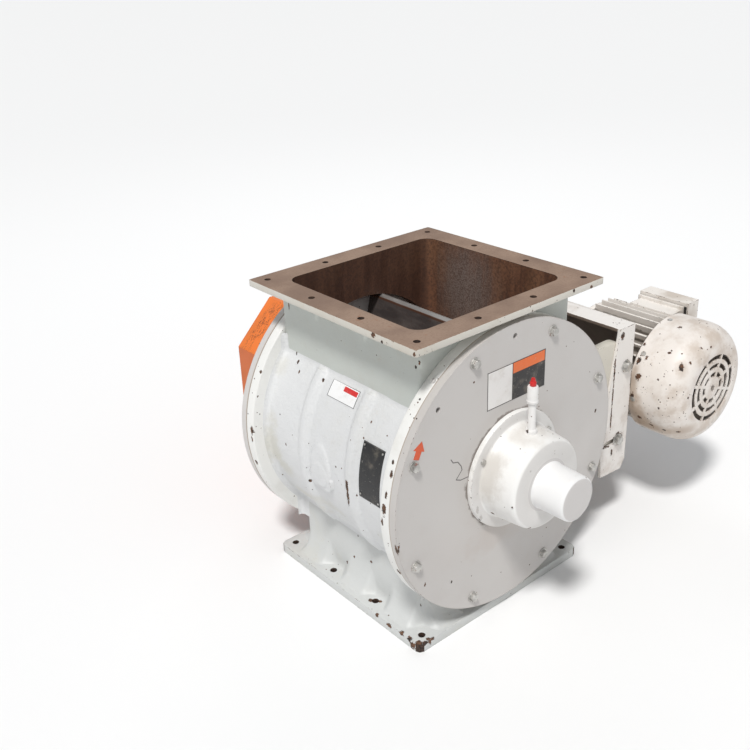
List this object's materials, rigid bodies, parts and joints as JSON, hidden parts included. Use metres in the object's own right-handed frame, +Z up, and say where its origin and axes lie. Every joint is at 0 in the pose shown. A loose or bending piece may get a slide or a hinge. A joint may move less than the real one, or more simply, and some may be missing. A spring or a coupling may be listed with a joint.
{
  "type": "rotary airlock valve",
  "caption": "Rotary airlock valve with square inlet and outlet flanges, vaned rotor, outboard bearings and a side-mounted gearmotor driving it by chain.",
  "frame": {"origin": "centre of the outlet flange's underside", "axes": "+Z up from outlet to inlet, Y along the rotor with the plain bearing end at -Y, +X towards the gearmotor"},
  "size_m": [0.9319, 0.7517, 0.604],
  "materials": {
    "body_paint": "worn white enamel over cast iron, with chips and rust streaks",
    "plate_paint": "thin white enamel over machined plate, slightly pinkish",
    "motor_paint": "dusty off-white enamel",
    "guard_paint": "orange enamel on sheet steel",
    "zinc_steel": "zinc plated fasteners, dulled",
    "bare_steel": "ground steel",
    "dark_steel": "oiled black steel",
    "rotor_steel": "dull scraped steel plate",
    "rubber_black": "nitrile rubber",
    "fan_plastic": "moulded black plastic",
    "winding": "varnished lamination stack and windings",
    "red_plastic": "red moulded plug",
    "plate_black": "black anodised plate, left blank",
    "label_white": "printed film, left blank",
    "arrow_orange": "painted arrow"
  },
  "bodies": {
    "valve": {"housing": "body_paint", "front_end_plate": "plate_paint", "rear_end_plate": "plate_paint", "front_plate_bolts": "zinc_steel", "rear_plate_bolts": "zinc_steel", "neck_plug": "body_paint", "front_bearing_housing": "body_paint", "rear_bearing_housing": "body_paint", "front_end_cap": "body_paint", "rear_bearing_cover": "bare_steel", "bearing_housing_screws": "zinc_steel", "bearing_outer_rings": "bare_steel", "shaft_seals": "rubber_black", "grease_pipe": "body_paint", "grease_coupling": "body_paint", "grease_plug": "red_plastic", "chain_link_plates": "dark_steel", "chain_rollers": "bare_steel", "guard_back_plate": "guard_paint", "guard_cover": "guard_paint", "guard_standoffs": "zinc_steel", "guard_screws": "zinc_steel", "motor_bracket": "body_paint", "bracket_bolts": "zinc_steel", "foot_bolts": "zinc_steel", "gear_case": "motor_paint", "gear_case_cover": "motor_paint", "gear_bearings": "bare_steel", "output_seal": "rubber_black", "motor_frame": "motor_paint", "motor_end_shield": "motor_paint", "motor_stator": "winding", "motor_bearings": "bare_steel", "fan_cover": "motor_paint", "fan_cover_screws": "zinc_steel", "terminal_box_gasket": "rubber_black", "terminal_box_lid": "motor_paint", "terminal_box_screws": "zinc_steel", "conduit_plug": "dark_steel", "data_plate": "plate_black", "data_plate_rivets": "zinc_steel", "body_label": "label_white", "end_plate_label": "label_white", "rotation_arrow": "arrow_orange"},
    "rotor": {"rotor_hub": "rotor_steel", "rotor_vanes": "rotor_steel", "rotor_shaft": "bare_steel", "rotor_key": "bare_steel", "driven_sprocket": "dark_steel", "bearing_inner_rings": "bare_steel", "bearing_balls": "bare_steel"},
    "gear_output": {"gear_output_shaft": "bare_steel", "output_wheel": "bare_steel", "drive_sprocket": "dark_steel", "sprocket_key": "bare_steel"},
    "gear_countershaft": {"countershaft": "bare_steel", "counter_wheel": "bare_steel"},
    "motor_armature": {"motor_shaft": "bare_steel", "motor_rotor": "dark_steel", "cooling_fan": "fan_plastic"}
  },
  "joints": [
    {"name": "rotor_spin", "type": "hinge", "parent": "valve", "child": "rotor", "pos_m": [0, 0, 0.304], "axis": [0, 1, 0], "continuous": true},
    {"name": "gear_output_spin", "type": "hinge", "parent": "valve", "child": "gear_output", "pos_m": [0.52588, 0, 0.304], "axis": [0, 1, 0], "continuous": true},
    {"name": "countershaft_spin", "type": "hinge", "parent": "valve", "child": "gear_countershaft", "pos_m": [0.52588, 0, 0.219], "axis": [0, 1, 0], "continuous": true},
    {"name": "motor_spin", "type": "hinge", "parent": "valve", "child": "motor_armature", "pos_m": [0.52588, 0, 0.304], "axis": [0, 1, 0], "continuous": true}
  ],
  "couplings": [
    {"joint": "gear_output_spin", "follows": "rotor_spin", "ratio": 2.6923},
    {"joint": "countershaft_spin", "follows": "rotor_spin", "ratio": -10.769},
    {"joint": "motor_spin", "follows": "rotor_spin", "ratio": 43.077}
  ]
}
